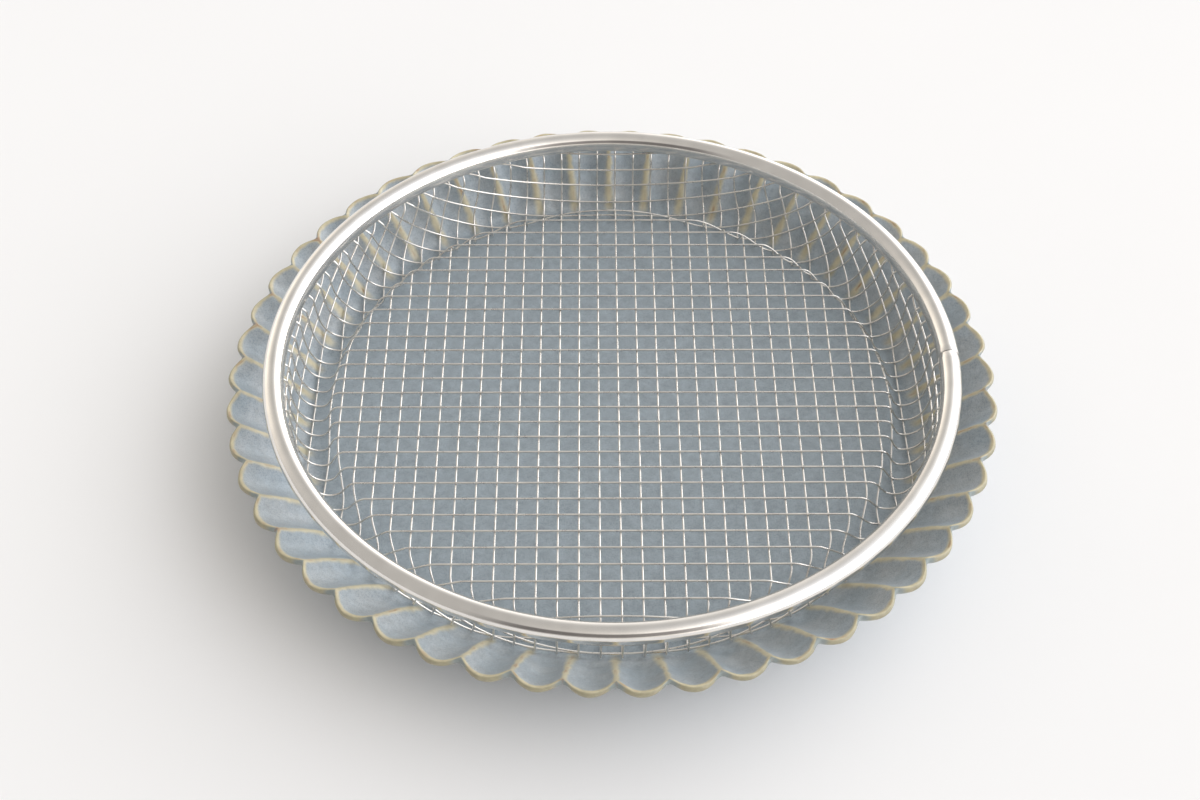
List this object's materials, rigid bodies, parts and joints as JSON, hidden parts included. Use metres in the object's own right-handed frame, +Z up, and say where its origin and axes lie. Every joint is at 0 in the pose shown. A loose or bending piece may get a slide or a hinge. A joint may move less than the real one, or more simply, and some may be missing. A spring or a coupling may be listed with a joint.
{
  "type": "strainer plate",
  "caption": "Round fluted stoneware plate with a scalloped edge, holding a lift-out tray strainer of welded steel mesh in a rolled steel rim.",
  "frame": {"origin": "on the table, under the middle of the plate's foot", "axes": "+Z up along the plate's axis, +Y to the back of the picture, +X to its right"},
  "size_m": [0.2442, 0.2438, 0.037],
  "materials": {
    "glaze": "satin blue-grey glaze that breaks to tan on the ridges",
    "rim_steel": "polished stainless steel strip",
    "core_steel": "bare drawn wire, hidden in the rim",
    "wire_steel": "bright drawn stainless wire"
  },
  "bodies": {
    "plate": {"ceramic_plate": "glaze"},
    "strainer": {"rim_band": "rim_steel", "rim_core_ring": "core_steel", "line_wires_left_01": "wire_steel", "line_wires_left_02": "wire_steel", "line_wires_left_03": "wire_steel", "line_wires_left_04": "wire_steel", "line_wires_left_05": "wire_steel", "line_wires_left_06": "wire_steel", "line_wires_left_07": "wire_steel", "line_wires_right_01": "wire_steel", "line_wires_right_02": "wire_steel", "line_wires_right_03": "wire_steel", "line_wires_right_04": "wire_steel", "line_wires_right_05": "wire_steel", "line_wires_right_06": "wire_steel", "line_wires_right_07": "wire_steel", "cross_wires_front_01": "wire_steel", "cross_wires_front_02": "wire_steel", "cross_wires_front_03": "wire_steel", "cross_wires_front_04": "wire_steel", "cross_wires_front_05": "wire_steel", "cross_wires_front_06": "wire_steel", "cross_wires_back_01": "wire_steel", "cross_wires_back_02": "wire_steel", "cross_wires_back_03": "wire_steel", "cross_wires_back_04": "wire_steel", "cross_wires_back_05": "wire_steel", "cross_wires_back_06": "wire_steel", "cross_wires_back_07": "wire_steel", "line_wires_left_edge": "wire_steel", "line_wires_right_edge": "wire_steel", "cross_wires_front_edge": "wire_steel", "cross_wires_back_edge": "wire_steel"}
  },
  "joints": [
    {"name": "strainer_lift", "type": "slide", "parent": "plate", "child": "strainer", "axis": [0, 0, 1], "range_m": [0, 0.06]}
  ]
}
